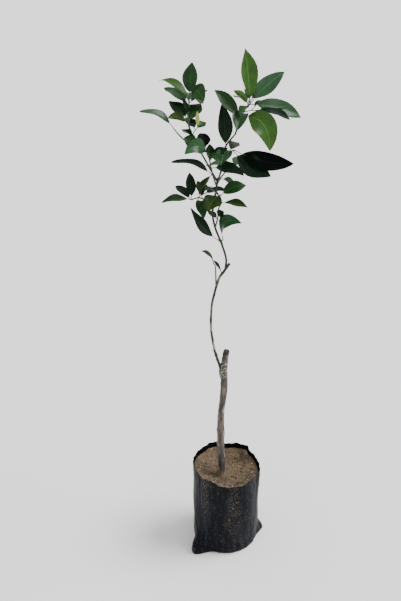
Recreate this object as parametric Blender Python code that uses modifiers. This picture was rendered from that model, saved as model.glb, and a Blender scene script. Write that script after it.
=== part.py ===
"""A grafted navel orange sapling in a black film grow bag of soil.

Metres, +Z up. The origin is the centre of the bag's flat underside, and the tree's broad side
faces -Y. Bearings are degrees anticlockwise from +X, seen from above, and rises are degrees
above the level.
"""

import math
import random
from collections import namedtuple

import bmesh
import bpy
from mathutils import Matrix, Quaternion, Vector
from mathutils.bvhtree import BVHTree

OBJECT_NAME = "potted_navel_orange_tree"
UP = Vector((0.0, 0.0, 1.0))

# Plain colour and roughness of each material
FINISHES = {
    "black_film": ((0.012, 0.014, 0.020), 0.38),
    "soil": ((0.20, 0.15, 0.10), 0.95),
    "rootstock_bark": ((0.24, 0.21, 0.18), 0.80),
    "green_bark": ((0.035, 0.045, 0.030), 0.60),
    "leaf_green": ((0.030, 0.090, 0.020), 0.35),
}

# Bag
BAG_RADIUS = 0.081
BAG_FILM = 0.0012
BAG_SIDES = 36
BAG_LEVELS = (0.0, 0.03, 0.09, 0.3, 0.6, 0.85, 1.0)
BAG_HEIGHT = 0.2
BAG_SLACK = 0.0012
SLACK_FOLDS = 3
SLACK_TWIST = 40.0
MOUTH_FLARE = 0.001
# Bearing, reach past the body and half spread in degrees of each folded corner of the base
EARS = ((224.0, 0.036, 13.0), (10.0, 0.018, 15.0))
EAR_HEIGHT = 0.022
# Bearing and height of the points that shape the cut edge of the film
RIM = (
    (8.0, 0.209), (30.0, 0.216), (49.0, 0.229), (91.0, 0.220), (115.0, 0.230), (160.0, 0.228),
    (205.0, 0.231), (221.0, 0.225), (237.0, 0.229), (271.0, 0.218), (298.0, 0.217), (335.0, 0.224),
)
FILM_EDGE = 60.0

# Soil
SOIL_CLEAR = 0.0005
SOIL_LEVELS = (0.0, 0.3, 0.6, 0.85, 1.0)
SOIL_RINGS = 3
SOIL_PAD = 0.189
SOIL_PAD_RADIUS = 0.027
SOIL_DISH = 1.5
SOIL_EDGE_BELOW_RIM = 0.012
SOIL_CRUST = 0.009
SOIL_CRUST_BEARING = 235.0
SOIL_CRUST_SPREAD = 60.0
SOIL_EDGE = 40.0

# Between solids that touch, and between leaves of neighbouring masses
GAP = 0.0003
LEAF_GAP = 0.0006

# Wood
LIMB_STEPS = 3
TWIG_STEPS = 2
TRUNK_ROUNDNESS = 4
LIMB_ROUNDNESS = 2
TWIG_ROUNDNESS = 1
STEM_RADII = (0.0021, 0.0014)
TWIG_RADIUS = 0.0012
WELD = 0.00005
BARK_EDGE = 50.0

# Leaves
LEAF_THICKNESS = 0.0013
LEAF_ROWS = 5
LEAF_COLUMNS = 2
LEAF_POINT = 0.0007
LEAF_FULLNESS = 0.85
LEAF_EDGE = 30.0
# The stalk: its share of the reach, how far it runs into the blade, its size and its sides
STALK_SHARE = 0.14
STALK_SINK = 0.1
STALK_RADIUS = 0.0012
STALK_TAPER = 0.8
STALK_SIDES = 4

# The seeded twigs of the far side, and the ranges that their random draws come from
TURN = 68.75
SPRIG_ZONE = (0.45, 0.90)
SPRIG_LEAVES = ((0.55, 40.0), (0.8, -40.0), (1.0, 0.0))
SPRIG_BOW = 0.002
SPRIG_SWING = (-15.0, 15.0)
SPRIG_RISE = (-10.0, 15.0)
SPRIG_LENGTH = (0.022, 0.034)
SEEDED_SWING = (-12.0, 12.0)
SEEDED_DROOP = (-15.0, 10.0)
SEEDED_REACH = (0.055, 0.080)
SEEDED_WIDTH = (0.022, 0.030)
SEEDED_ROLL = (-15.0, 15.0)
SEEDED_ARCH = (0.05, 0.15)
SEEDED_FOLD = 15.0

Limb = namedtuple("Limb", "name points radii roundness stands_on")
Leaf = namedtuple("Leaf", "at bearing rise reach width roll arch fold")
Sprig = namedtuple("Sprig", "at bearing rise length leaves")
Mass = namedtuple("Mass", "name stands_on points leaves sprigs rule")
Rule = namedtuple("Rule", "count bearing seed")

ROOTSTOCK = Limb(
    "rootstock_trunk",
    (
        (-0.0130, 0.000, SOIL_PAD + GAP), (-0.0130, 0.000, 0.225), (-0.0155, 0.001, 0.275),
        (-0.0155, 0.000, 0.315), (-0.0165, -0.001, 0.356), (-0.0150, 0.000, 0.386),
        (-0.0115, 0.000, 0.423), (-0.0095, 0.000, 0.470), (-0.0125, 0.000, 0.498),
        (-0.0085, 0.001, 0.524), (-0.0055, 0.001, 0.552),
    ),
    (0.0102, 0.0094, 0.0090, 0.0090, 0.0084, 0.0072, 0.0082, 0.0080, 0.0102, 0.0074, 0.0066),
    TRUNK_ROUNDNESS,
    None,
)
SCION = Limb(
    "scion_stem",
    (
        (-0.0150, -0.001, 0.494), (-0.0245, -0.004, 0.527), (-0.0330, -0.008, 0.559),
        (-0.0405, -0.013, 0.610), (-0.0415, -0.012, 0.658), (-0.0370, -0.008, 0.693),
        (-0.0255, -0.002, 0.735), (-0.0150, 0.001, 0.752), (-0.0020, 0.004, 0.771),
    ),
    (0.0040, 0.0032, 0.0029, 0.0027, 0.0027, 0.0027, 0.0029, 0.0031, 0.0029),
    LIMB_ROUNDNESS,
    "rootstock_trunk",
)
LEADER = Limb(
    "leader",
    (
        (-0.0110, 0.002, 0.756), (-0.0100, 0.004, 0.783), (-0.0205, 0.008, 0.818),
        (-0.0330, 0.006, 0.851), (-0.0395, 0.004, 0.885), (-0.0350, 0.005, 0.925),
        (-0.0290, 0.010, 0.963),
    ),
    (0.0026, 0.0024, 0.0024, 0.0023, 0.0022, 0.0022, 0.0023),
    LIMB_ROUNDNESS,
    "scion_stem",
)
LEFT_BOUGH = Limb(
    "left_bough",
    ((-0.0300, 0.009, 0.955), (-0.0430, 0.012, 0.977), (-0.0540, 0.010, 0.998), (-0.0790, 0.000, 1.047)),
    (0.0020, 0.0020, 0.0019, 0.0016),
    LIMB_ROUNDNESS,
    "leader",
)
RIGHT_BOUGH = Limb(
    "right_bough",
    ((-0.0290, 0.010, 0.957), (-0.0205, 0.015, 0.985), (-0.0150, 0.018, 1.024), (0.0050, 0.018, 1.052)),
    (0.0020, 0.0020, 0.0019, 0.0016),
    LIMB_ROUNDNESS,
    "leader",
)
LIMBS = (ROOTSTOCK, SCION, LEADER, LEFT_BOUGH, RIGHT_BOUGH)

# Each leaf: place up the stem, bearing, rise, reach with its stalk, width, roll, arch, fold
MASSES = (
    Mass(
        "upper_right_foliage",
        "right_bough",
        ((0.0050, 0.018, 1.052), (0.014, 0.016, 1.083), (0.023, 0.018, 1.101), (0.033, 0.020, 1.112)),
        (
            Leaf(1.00, 110, 73, 0.107, 0.042, 8, 0.03, 25),
            Leaf(1.00, 33, 32, 0.098, 0.036, 38, 0.05, 12),
            Leaf(0.97, 5, -15, 0.109, 0.038, 48, 0.07, 10),
            Leaf(0.93, 212, 42, 0.051, 0.018, 50, 0.05, 35),
            Leaf(0.90, 247, -6, 0.049, 0.020, 0, 0.08, 20),
            Leaf(0.30, 154, 44, 0.079, 0.030, -42, 0.06, 25),
            Leaf(0.57, 256, -19, 0.066, 0.038, -8, 0.12, 35),
            Leaf(0.43, 318, -37, 0.093, 0.050, 38, 0.30, 12),
        ),
        (),
        Rule(2, 20, 3),
    ),
    Mass(
        "upper_left_foliage",
        "left_bough",
        ((-0.079, 0.000, 1.047), (-0.089, 0.000, 1.078), (-0.089, 0.005, 1.104), (-0.086, 0.010, 1.132)),
        (
            Leaf(0.96, 71, 76, 0.066, 0.033, 2, 0.03, 20),
            Leaf(1.00, 303, -2, 0.050, 0.036, 45, 0.28, 12),
            Leaf(0.94, 56, -24, 0.053, 0.028, 50, 0.10, 15),
            Leaf(0.84, 157, 30, 0.075, 0.024, -16, 0.18, 20),
            Leaf(0.42, 131, 24, 0.065, 0.028, -18, 0.06, 15),
            Leaf(0.36, 226, 20, 0.059, 0.022, -50, 0.10, 20),
            Leaf(0.52, 238, 59, 0.050, 0.016, -8, 0.05, 30),
            Leaf(0.36, 68, 21, 0.066, 0.032, 14, 0.06, 15),
            Leaf(0.25, 79, -6, 0.061, 0.024, 12, 0.10, 12),
            Leaf(0.04, 238, 31, 0.048, 0.017, 28, 0.06, 25),
            Leaf(0.12, 262, -28, 0.040, 0.024, 0, 0.10, 15),
        ),
        (
            Sprig(
                0.08, 318, 50, 0.023,
                (
                    Leaf(1.00, 260, 82, 0.035, 0.009, 0, 0.02, 25),
                    Leaf(0.80, 51, 14, 0.030, 0.018, 28, 0.08, 15),
                    Leaf(0.60, 120, 20, 0.044, 0.024, 0, 0.08, 15),
                ),
            ),
        ),
        Rule(1, 85, 5),
    ),
    Mass(
        "left_tip_leaf",
        "left_bough",
        ((-0.0755, 0.001, 1.040), (-0.087, -0.010, 1.040), (-0.106, -0.020, 1.060), (-0.117, -0.025, 1.075)),
        (Leaf(1.00, 189, 29, 0.075, 0.025, -22, 0.14, 20),),
        (),
        None,
    ),
    Mass(
        "centre_foliage",
        "leader",
        ((-0.033, 0.006, 0.949), (-0.042, -0.012, 0.983), (-0.047, -0.022, 1.011), (-0.053, -0.028, 1.035)),
        (
            Leaf(0.77, 217, 15, 0.061, 0.032, -60, 0.30, 10),
            Leaf(1.00, 103, 19, 0.054, 0.028, 0, 0.06, 12),
            Leaf(0.57, 268, 62, 0.053, 0.019, 0, 0.05, 25),
            Leaf(0.23, 173, 16, 0.089, 0.029, -8, 0.13, 20),
            Leaf(0.43, 325, 0, 0.078, 0.028, 34, 0.10, 20),
            Leaf(0.27, 238, -29, 0.061, 0.020, 14, 0.10, 25),
        ),
        (),
        None,
    ),
    Mass(
        "right_foliage",
        "right_bough",
        ((-0.015, 0.018, 1.021), (-0.008, 0.000, 1.022), (0.003, -0.012, 1.028)),
        (
            Leaf(0.35, 255, -14, 0.057, 0.036, -10, 0.14, 30),
            Leaf(0.60, 70, 3, 0.053, 0.023, 18, 0.08, 15),
            Leaf(1.00, 350, -10, 0.120, 0.042, 50, -0.08, 10),
            Leaf(0.85, 335, -27, 0.093, 0.044, 45, -0.06, 8),
            Leaf(0.10, 119, 79, 0.092, 0.034, -14, 0.03, 25),
        ),
        (),
        None,
    ),
    Mass(
        "left_foliage",
        "leader",
        ((-0.039, 0.004, 0.901), (-0.056, -0.004, 0.920), (-0.070, -0.008, 0.926), (-0.084, -0.010, 0.922)),
        (
            Leaf(0.97, 99, 53, 0.058, 0.023, 0, 0.05, 20),
            Leaf(1.00, 130, 16, 0.055, 0.021, -16, 0.08, 15),
            Leaf(0.98, 202, 3, 0.066, 0.023, -20, 0.08, 20),
            Leaf(0.70, 286, -32, 0.055, 0.026, 0, 0.10, 25),
        ),
        (),
        Rule(1, 60, 9),
    ),
    Mass(
        "shoot_foliage",
        "leader",
        (
            (-0.034, 0.006, 0.853), (-0.029, -0.006, 0.881), (-0.028, -0.014, 0.904),
            (-0.022, -0.020, 0.921), (-0.026, -0.024, 0.938),
        ),
        (
            Leaf(1.00, 240, -18, 0.055, 0.038, -20, 0.10, 8),
            Leaf(0.97, 20, 15, 0.060, 0.028, 44, 0.10, 15),
            Leaf(0.72, 330, 1, 0.061, 0.023, 18, 0.08, 20),
            Leaf(0.50, 281, -17, 0.034, 0.016, 0, 0.08, 20),
            Leaf(0.20, 223, 43, 0.040, 0.015, 45, 0.05, 25),
        ),
        (),
        None,
    ),
    Mass(
        "low_left_leaf",
        "leader",
        ((-0.022, 0.008, 0.820), (-0.027, 0.009, 0.824)),
        (Leaf(1.00, 171, 50, 0.091, 0.031, -28, -0.10, 20),),
        (),
        None,
    ),
    Mass(
        "low_right_leaf",
        "leader",
        ((-0.022, 0.008, 0.822), (-0.017, 0.006, 0.826)),
        (Leaf(1.00, 334, 46, 0.062, 0.031, 60, 0.42, 15),),
        (),
        None,
    ),
    Mass(
        "side_shoot",
        "scion_stem",
        ((-0.031, -0.004, 0.716), (-0.032, -0.010, 0.750), (-0.033, -0.012, 0.770), (-0.038, -0.014, 0.782)),
        (Leaf(1.00, 201, 48, 0.042, 0.015, -32, 0.12, 30),),
        (),
        None,
    ),
    Mass(
        "stem_leaf",
        "scion_stem",
        ((-0.017, 0.000, 0.748), (-0.020, -0.003, 0.753)),
        (Leaf(1.00, 150, 48, 0.033, 0.012, 0, 0.05, 30),),
        (),
        None,
    ),
    Mass(
        "back_foliage",
        "leader",
        ((-0.030, 0.008, 0.952), (-0.020, 0.030, 0.960), (-0.008, 0.052, 0.966), (0.004, 0.070, 0.972)),
        (Leaf(0.20, 30, -38, 0.055, 0.022, 40, 0.10, 20),),
        (),
        Rule(2, 35, 21),
    ),
)


def clear_scene():
    for thing in list(bpy.data.objects):
        bpy.data.objects.remove(thing)


def finish(name):
    """A plain Principled material."""
    colour, roughness = FINISHES[name]
    material = bpy.data.materials.new(name)
    material.use_nodes = True
    shader = material.node_tree.nodes["Principled BSDF"]
    shader.inputs["Base Color"].default_value = (*colour, 1.0)
    shader.inputs["Roughness"].default_value = roughness
    shader.inputs["Metallic"].default_value = 0.0
    return material


def wear(thing, material):
    """Gives the object this material alone."""
    thing.data.materials.clear()
    thing.data.materials.append(material)


def add_object(name, mesh, collection):
    thing = bpy.data.objects.new(name, mesh)
    collection.objects.link(thing)
    return thing


def mesh_of(bm, name):
    mesh = bpy.data.meshes.new(name)
    bm.to_mesh(mesh)
    bm.free()
    return mesh


def evaluated_mesh(thing):
    graph = bpy.context.evaluated_depsgraph_get()
    return bpy.data.meshes.new_from_object(thing.evaluated_get(graph))


def discard(things):
    for thing in list(things):
        bpy.data.objects.remove(thing)


def shade_round(mesh, degrees):
    """Smooth shading, with an edge drawn sharp where faces meet at more than this angle."""
    mesh.shade_smooth()
    mesh.set_sharp_from_angle(angle=math.radians(degrees))


def direction(bearing, rise):
    """The unit vector at a bearing and a rise, both in degrees."""
    level = math.cos(math.radians(rise))
    angle = math.radians(bearing)
    return Vector((level * math.cos(angle), level * math.sin(angle), math.sin(math.radians(rise))))


def bearing_of(place):
    return math.degrees(math.atan2(place.y, place.x)) % 360.0


def apart(bearing, other):
    """Degrees between two bearings, the short way round."""
    return abs((bearing - other + 180.0) % 360.0 - 180.0)


def smooth_line(points, steps):
    """Places on a smooth curve through the points, with so many steps from each to the next."""
    points = [Vector(point) for point in points]
    padded = [2 * points[0] - points[1], *points, 2 * points[-1] - points[-2]]
    line = []
    for before, start, end, after in zip(padded, padded[1:], padded[2:], padded[3:]):
        for step in range(steps):
            t = step / steps
            line.append(
                0.5
                * (
                    2 * start
                    + (end - before) * t
                    + (2 * before - 5 * start + 4 * end - after) * t**2
                    + (3 * start - before - 3 * end + after) * t**3
                )
            )
    line.append(points[-1])
    return line


def spread_values(values, steps):
    """Values between each two given ones, to match a smooth line's places."""
    spread = []
    for start, end in zip(values, values[1:]):
        spread += [start + (end - start) * step / steps for step in range(steps)]
    return [*spread, values[-1]]


def place_on(line, share):
    """The place at a share of the way along a line."""
    where = share * (len(line) - 1)
    index = min(int(where), len(line) - 2)
    return line[index].lerp(line[index + 1], where - index)


def tube(name, line, radii, roundness, collection):
    """A tapering round limb with flat ends, drawn as a bevelled curve and made a mesh."""
    curve = bpy.data.curves.new(name, "CURVE")
    curve.dimensions = "3D"
    curve.bevel_depth = 1.0
    curve.bevel_resolution = roundness
    curve.use_fill_caps = True
    spline = curve.splines.new("POLY")
    spline.points.add(len(line) - 1)
    for point, place, radius in zip(spline.points, line, radii):
        point.co = (*place, 1.0)
        point.radius = radius
    guide = add_object(name, curve, collection)
    mesh = evaluated_mesh(guide)
    bpy.data.objects.remove(guide)
    bm = bmesh.new()
    bm.from_mesh(mesh)
    bmesh.ops.remove_doubles(bm, verts=bm.verts, dist=WELD)
    bm.to_mesh(mesh)
    bm.free()
    return add_object(name, mesh, collection)


def keep_one_body(thing):
    """Keeps the largest closed shell of the object's mesh and drops scraps and sealed hollows."""
    bm = bmesh.new()
    bm.from_mesh(thing.data)
    bmesh.ops.triangulate(bm, faces=bm.faces)
    waiting = set(bm.verts)
    largest = set()
    while waiting:
        shell = set()
        to_visit = [next(iter(waiting))]
        while to_visit:
            vert = to_visit.pop()
            if vert not in shell:
                shell.add(vert)
                to_visit += [edge.other_vert(vert) for edge in vert.link_edges]
        waiting -= shell
        largest = max(largest, shell, key=len)
    loose = [vert for vert in bm.verts if vert not in largest]
    bmesh.ops.delete(bm, geom=loose, context="VERTS")
    bm.to_mesh(thing.data)
    bm.free()


def combine(thing, operation, others):
    """Joins the collection of others to the object, or cuts them from it, for good."""
    boolean = thing.modifiers.new(operation.title(), "BOOLEAN")
    boolean.operation = operation
    boolean.operand_type = "COLLECTION"
    boolean.collection = others
    boolean.solver = "EXACT"
    result = evaluated_mesh(thing)
    thing.modifiers.remove(boolean)
    thing.data = result
    discard(others.objects)
    keep_one_body(thing)


def limb_line(limb):
    return smooth_line(limb.points, LIMB_STEPS), spread_values(limb.radii, LIMB_STEPS)


def fat_limb(limb, collection):
    """A cutter: the limb with the gap that its neighbours keep, at its side and at its ends."""
    line, radii = limb_line(limb)
    foot = line[0] + GAP * (line[0] - line[1]).normalized()
    tip = line[-1] + GAP * (line[-1] - line[-2]).normalized()
    wider = [radius + GAP for radius in radii]
    return tube(f"clear_of_{limb.name}", [foot, *line[1:-1], tip], wider, limb.roundness, collection)


def make_limb(limb, limbs, collection, cutters):
    """A trunk, stem or bough, cut clear of the limb that it stands on."""
    line, radii = limb_line(limb)
    thing = tube(limb.name, line, radii, limb.roundness, collection)
    if limb.stands_on:
        fat_limb(limbs[limb.stands_on], cutters)
        combine(thing, "DIFFERENCE", cutters)
    shade_round(thing.data, BARK_EDGE)
    return thing


def rim_height(bearing):
    """Height of the film's cut edge, eased between the points of the rim."""
    points = [*RIM, (RIM[0][0] + 360.0, RIM[0][1])]
    bearing = bearing if bearing >= RIM[0][0] else bearing + 360.0
    for (start, low), (end, high) in zip(points, points[1:]):
        if start <= bearing <= end:
            ease = (1 - math.cos(math.pi * (bearing - start) / (end - start))) / 2
            return low + (high - low) * ease
    raise ValueError(bearing)


def bag_radius(bearing, height, ears=True):
    """Radius of the film's outside: a slack round body with the base's two folded corners."""
    share = max(height / BAG_HEIGHT, 0.0)
    waves = math.sin(SLACK_FOLDS * math.radians(bearing) + SLACK_TWIST * height)
    radius = BAG_RADIUS + BAG_SLACK * waves * math.sin(math.pi * min(share, 1.0)) + MOUTH_FLARE * share**4
    if ears:
        for at, reach, spread in EARS:
            fold = math.exp(-((apart(bearing, at) / spread) ** 2))
            radius += reach * fold * math.exp(-height / EAR_HEIGHT)
    return radius


def drum(levels):
    """A capped cylinder, ready to be shaped: its side has a row of corners at each level."""
    bm = bmesh.new()
    bmesh.ops.create_cone(
        bm, cap_ends=True, segments=BAG_SIDES, radius1=1.0, radius2=1.0, depth=1.0,
        matrix=Matrix.Translation(UP / 2),
    )
    for level in levels[1:-1]:
        bmesh.ops.bisect_plane(
            bm, geom=[*bm.verts, *bm.edges, *bm.faces], plane_co=level * UP, plane_no=UP
        )
    return bm


def top_of(bm):
    """The cap on top of a drum."""
    return max(bm.faces, key=lambda face: face.calc_center_median().z)


def grow_bag(collection):
    """The film bag: an open drum with slack sides, eared base and uneven rim, then its thickness."""
    bm = drum(BAG_LEVELS)
    bmesh.ops.delete(bm, geom=[top_of(bm)], context="FACES_ONLY")
    for vert in bm.verts:
        bearing = bearing_of(vert.co)
        height = vert.co.z * rim_height(bearing)
        vert.co = bag_radius(bearing, height) * direction(bearing, 0.0) + height * UP
    thing = add_object("grow_bag", mesh_of(bm, "grow_bag"), collection)
    film = thing.modifiers.new("Film", "SOLIDIFY")
    film.thickness = BAG_FILM
    film.offset = -1.0
    shade_round(thing.data, FILM_EDGE)
    return thing


def soil_height(bearing, share):
    """Height of the soil: a level pad round the trunk, rising to a crust by the film."""
    edge = rim_height(bearing) - SOIL_EDGE_BELOW_RIM
    edge += SOIL_CRUST * math.exp(-((apart(bearing, SOIL_CRUST_BEARING) / SOIL_CRUST_SPREAD) ** 2))
    return SOIL_PAD + (edge - SOIL_PAD) * share**SOIL_DISH


def soil(collection):
    """The soil: a drum inside the film, its top inset into rings that dish down to the pad."""
    bm = drum(SOIL_LEVELS)
    pad = SOIL_PAD_RADIUS / (BAG_RADIUS - BAG_FILM)
    top = top_of(bm)
    for _ in range(SOIL_RINGS):
        bmesh.ops.inset_region(bm, faces=[top], thickness=(1 - pad) / SOIL_RINGS)
    floor = BAG_FILM + GAP
    for vert in bm.verts:
        bearing = bearing_of(vert.co)
        share = min(vert.co.xy.length, 1.0)
        past_pad = max((share - pad) / (1 - pad), 0.0)
        height = floor + vert.co.z * (soil_height(bearing, past_pad) - floor)
        radius = share * (bag_radius(bearing, height, ears=False) - BAG_FILM - SOIL_CLEAR)
        vert.co = radius * direction(bearing, 0.0) + height * UP
    thing = add_object("soil", mesh_of(bm, "soil"), collection)
    shade_round(thing.data, SOIL_EDGE)
    return thing


def leaf_outline(t):
    """Half width of a blade at t along it, as a share of its greatest half width."""
    return math.sin(math.pi * t**LEAF_FULLNESS) ** LEAF_FULLNESS if 0 < t < 1 else 0.0


def leaf_axes(leaf):
    """The way a leaf points, the upright way that it arches and its right-hand side, rolled."""
    ahead = direction(leaf.bearing, leaf.rise)
    side = ahead.cross(UP).normalized()
    lift = side.cross(ahead)
    side.rotate(Quaternion(ahead, math.radians(leaf.roll)))
    return ahead, lift, side


def midline(leaf, foot, u):
    """The place at u along a leaf's stalk and midrib, arched off the straight way to its tip."""
    ahead, lift, _ = leaf_axes(leaf)
    return foot + leaf.reach * (u * ahead + 4 * u * (1 - u) * leaf.arch * lift)


def blade(leaf, foot, thickness, collection):
    """A leaf's blade: a grid drawn out to the outline, folded at the midrib and given thickness."""
    ahead, lift, side = leaf_axes(leaf)
    bm = bmesh.new()
    bmesh.ops.create_grid(bm, x_segments=LEAF_ROWS, y_segments=LEAF_COLUMNS, size=1.0)
    fold = math.radians(leaf.fold)
    for vert in bm.verts:
        t = (1 - math.cos(math.pi * (vert.co.x + 1) / 2)) / 2
        u = STALK_SHARE + (1 - STALK_SHARE) * t
        half = max(leaf.width / 2 * leaf_outline(t), LEAF_POINT)
        tangent = (ahead + 4 * (1 - 2 * u) * leaf.arch * lift).normalized()
        right = (side - side.dot(tangent) * tangent).normalized()
        out = right.cross(tangent)
        across = vert.co.y * half
        vert.co = (
            midline(leaf, foot, u)
            + across * math.cos(fold) * right
            + abs(across) * math.sin(fold) * out
        )
    thing = add_object("blade", mesh_of(bm, "blade"), collection)
    slab = thing.modifiers.new("Slab", "SOLIDIFY")
    slab.thickness = thickness
    slab.offset = 0.0
    return thing


def stalk(start, end, collection):
    """A straight four-sided stalk between two places."""
    along = end - start
    turn = along.to_track_quat("Z", "Y").to_matrix().to_4x4()
    bm = bmesh.new()
    bmesh.ops.create_cone(
        bm, cap_ends=True, segments=STALK_SIDES, radius1=STALK_RADIUS,
        radius2=STALK_RADIUS * STALK_TAPER, depth=along.length,
        matrix=Matrix.Translation((start + end) / 2) @ turn,
    )
    return add_object("stalk", mesh_of(bm, "stalk"), collection)


def tree_of(thing):
    return BVHTree.FromObject(thing, bpy.context.evaluated_depsgraph_get())


def meets_any(thing, taken):
    bpy.context.view_layer.update()
    own = tree_of(thing)
    return any(own.overlap(other) for other in taken)


def add_leaf(leaf, foot, taken, collection):
    """Adds a leaf and its stalk, unless they would touch a limb or another mass."""
    slab = blade(leaf, foot, LEAF_THICKNESS + 2 * LEAF_GAP, collection)
    stem = stalk(foot, midline(leaf, foot, STALK_SHARE + STALK_SINK), collection)
    if meets_any(slab, taken) or meets_any(stem, taken):
        discard([slab, stem])
        return False
    slab.modifiers["Slab"].thickness = LEAF_THICKNESS
    return True


def add_sprig(sprig, foot, taken, collection):
    """Adds a side twig with its leaves, and gives the number that had no room."""
    tip = foot + sprig.length * direction(sprig.bearing, sprig.rise)
    line = [foot, foot.lerp(tip, 0.5) + SPRIG_BOW * UP, tip]
    twig = tube("twig", line, [TWIG_RADIUS] * len(line), TWIG_ROUNDNESS, collection)
    if meets_any(twig, taken):
        discard([twig])
        return len(sprig.leaves)
    return sum(not add_leaf(leaf, place_on(line, leaf.at), taken, collection) for leaf in sprig.leaves)


def ruled_sprigs(rule):
    """The far side's seeded twigs, each turned on from the last and carrying three leaves."""
    if rule is None:
        return []
    chance = random.Random(rule.seed)
    low, high = SPRIG_ZONE
    sprigs = []
    for index in range(rule.count):
        at = low + (high - low) * (index + 0.5) / rule.count
        bearing = rule.bearing + TURN * index + chance.uniform(*SPRIG_SWING)
        rise = chance.uniform(*SPRIG_RISE)
        leaves = [
            Leaf(
                share,
                bearing + swing + chance.uniform(*SEEDED_SWING),
                rise + chance.uniform(*SEEDED_DROOP),
                chance.uniform(*SEEDED_REACH),
                chance.uniform(*SEEDED_WIDTH),
                chance.uniform(*SEEDED_ROLL),
                chance.uniform(*SEEDED_ARCH),
                SEEDED_FOLD,
            )
            for share, swing in SPRIG_LEAVES
        ]
        sprigs.append(Sprig(at, bearing, rise, chance.uniform(*SPRIG_LENGTH), leaves))
    return sprigs


def make_mass(mass, limbs, taken, collection, parts, cutters):
    """One mass of foliage: a stem, its leaves and its side twigs, fused into one body."""
    line = smooth_line(mass.points, TWIG_STEPS)
    radii = spread_values(STEM_RADII, len(line) - 1)
    stem = tube(mass.name, line, radii, TWIG_ROUNDNESS, collection)
    fat_limb(limbs[mass.stands_on], cutters)
    combine(stem, "DIFFERENCE", cutters)
    left_out = 0
    for leaf in mass.leaves:
        left_out += not add_leaf(leaf, place_on(line, leaf.at), taken, parts)
    for sprig in (*mass.sprigs, *ruled_sprigs(mass.rule)):
        left_out += add_sprig(sprig, place_on(line, sprig.at), taken, parts)
    combine(stem, "UNION", parts)
    shade_round(stem.data, LEAF_EDGE)
    print(f"{mass.name}: {len(stem.data.polygons)} triangles, {left_out} leaves left out")
    return stem


def main():
    clear_scene()
    scene = bpy.context.scene
    tree = bpy.data.collections.new(OBJECT_NAME)
    cutters = bpy.data.collections.new("cutters")
    parts = bpy.data.collections.new("leaf_parts")
    for collection in (tree, cutters, parts):
        scene.collection.children.link(collection)
    finishes = {name: finish(name) for name in FINISHES}

    wear(grow_bag(tree), finishes["black_film"])
    wear(soil(tree), finishes["soil"])
    limbs = {limb.name: limb for limb in LIMBS}
    taken = []
    for limb in LIMBS:
        thing = make_limb(limb, limbs, tree, cutters)
        wear(thing, finishes["rootstock_bark" if limb is ROOTSTOCK else "green_bark"])
        taken.append(tree_of(thing))
    for mass in MASSES:
        thing = make_mass(mass, limbs, taken, tree, parts, cutters)
        wear(thing, finishes["leaf_green"])
        bpy.context.view_layer.update()
        taken.append(tree_of(thing))
    bpy.data.collections.remove(parts)
    bpy.data.collections.remove(cutters)


main()
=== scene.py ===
"""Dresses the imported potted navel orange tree: film bag, soil, bark, twigs and leaves.

Metres, +Z up. Bearings are degrees anticlockwise from +X, seen from above, and rises are degrees
above the level. The crown grows by the same rule as the solids, with finer leaves and twigs.
"""

import math
import random
from collections import namedtuple

import bpy
from bpy.props import FloatProperty, FloatVectorProperty, IntProperty, PointerProperty
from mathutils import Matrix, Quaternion, Vector, noise


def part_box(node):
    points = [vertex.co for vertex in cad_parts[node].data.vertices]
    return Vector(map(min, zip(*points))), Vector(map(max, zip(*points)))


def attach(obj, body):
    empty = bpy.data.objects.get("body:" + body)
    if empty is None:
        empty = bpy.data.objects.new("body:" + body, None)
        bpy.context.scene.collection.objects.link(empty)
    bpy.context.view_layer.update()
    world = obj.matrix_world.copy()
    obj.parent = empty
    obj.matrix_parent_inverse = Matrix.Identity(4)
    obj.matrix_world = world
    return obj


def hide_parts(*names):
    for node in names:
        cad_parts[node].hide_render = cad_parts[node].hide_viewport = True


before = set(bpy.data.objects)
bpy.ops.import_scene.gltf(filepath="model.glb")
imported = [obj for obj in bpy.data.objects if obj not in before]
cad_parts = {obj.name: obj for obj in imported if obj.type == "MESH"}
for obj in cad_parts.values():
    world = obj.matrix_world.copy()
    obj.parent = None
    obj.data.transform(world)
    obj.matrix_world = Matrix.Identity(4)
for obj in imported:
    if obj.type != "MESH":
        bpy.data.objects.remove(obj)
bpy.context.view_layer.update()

bl_info = {
    "name": "Potted navel orange tree",
    "version": (1, 0),
    "blender": (4, 5, 0),
    "location": "3D Viewport > Sidebar > Orange tree",
    "description": "Builds the looks of a grafted navel orange sapling in a film grow bag",
    "category": "Object",
}

UP = Vector((0.0, 0.0, 1.0))
WELD = 0.00002
# Degrees between two faces past which the edge between them stays sharp
FILM_EDGE = 70.0
ROUGH_EDGE = 50.0
LEAF_EDGE = 60.0

# Stage, with the camera at the angle of the photograph
CAMERA_PLACE = (-0.065, -1.538, 1.5)
CAMERA_TILT = 62.0
CAMERA_SENSOR = 36.0
PHOTO_HEIGHT = 601
FOCAL_PIXELS = 787
FLOOR_SIZE = 80.0
SUN_DIRECTION = (1.6, 0.15, 1.9)
SUN_ANGLE = 35.0

# Bag
BAG_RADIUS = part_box("soil")[1].y + 0.0017
BAG_HEIGHT = 0.2
BAG_SLACK = 0.0012
SLACK_FOLDS = 3
SLACK_TWIST = 40.0
MOUTH_FLARE = 0.001
BAG_COLUMNS = 260
BAG_ROWS = 120
BASE_SHARE = 0.25
BASE_ROUND = 0.010
BASE_TUCK = 0.003
# Bearing, reach, spread and height of each of the base's folded corners
EARS = ((224.0, 0.036, 13.0, 0.052), (10.0, 0.018, 15.0, 0.024))
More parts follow.
